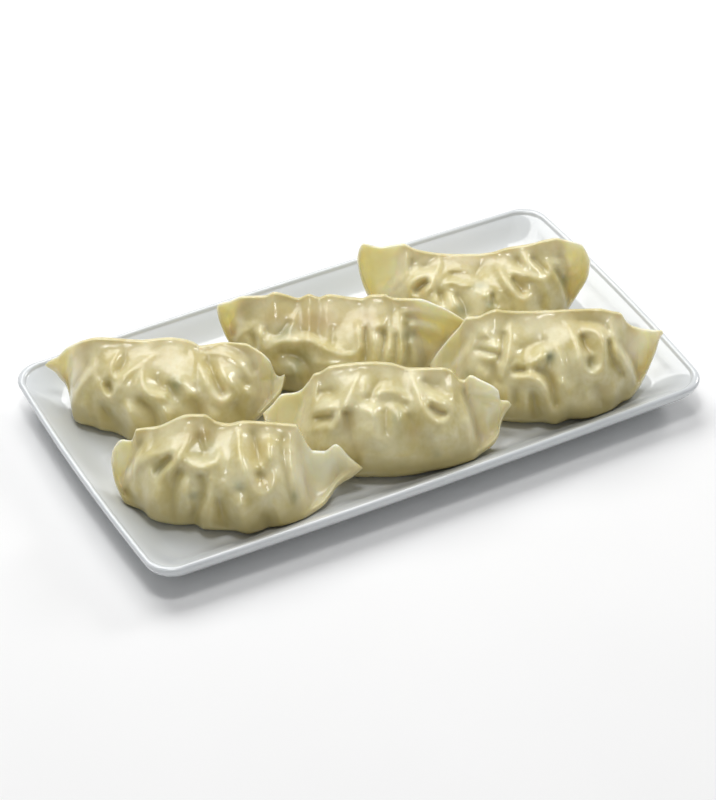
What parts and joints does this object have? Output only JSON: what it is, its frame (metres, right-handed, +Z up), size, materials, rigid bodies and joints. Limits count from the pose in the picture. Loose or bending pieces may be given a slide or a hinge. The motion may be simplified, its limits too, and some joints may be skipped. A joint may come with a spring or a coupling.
{
  "type": "gyoza dumplings on a plate",
  "caption": "Pleated boiled gyoza dumplings lying in two slanting rows on a rectangular white porcelain plate with a raised rim.",
  "frame": {"origin": "middle of the plate's underside, on the table", "axes": "+Z up, +X along the plate's length to the right, +Y away from the front edge"},
  "size_m": [0.2242, 0.1284, 0.0416],
  "materials": {
    "porcelain": "smooth glossy white glaze",
    "boiled_dough": "wet, slightly see-through boiled wheat dough"
  },
  "bodies": {
    "root": {"plate": "porcelain", "gyoza_back_left": "boiled_dough", "gyoza_front_left": "boiled_dough", "gyoza_back_centre": "boiled_dough", "gyoza_front_centre": "boiled_dough", "gyoza_back_right": "boiled_dough", "gyoza_front_right": "boiled_dough"}
  },
  "joints": []
}
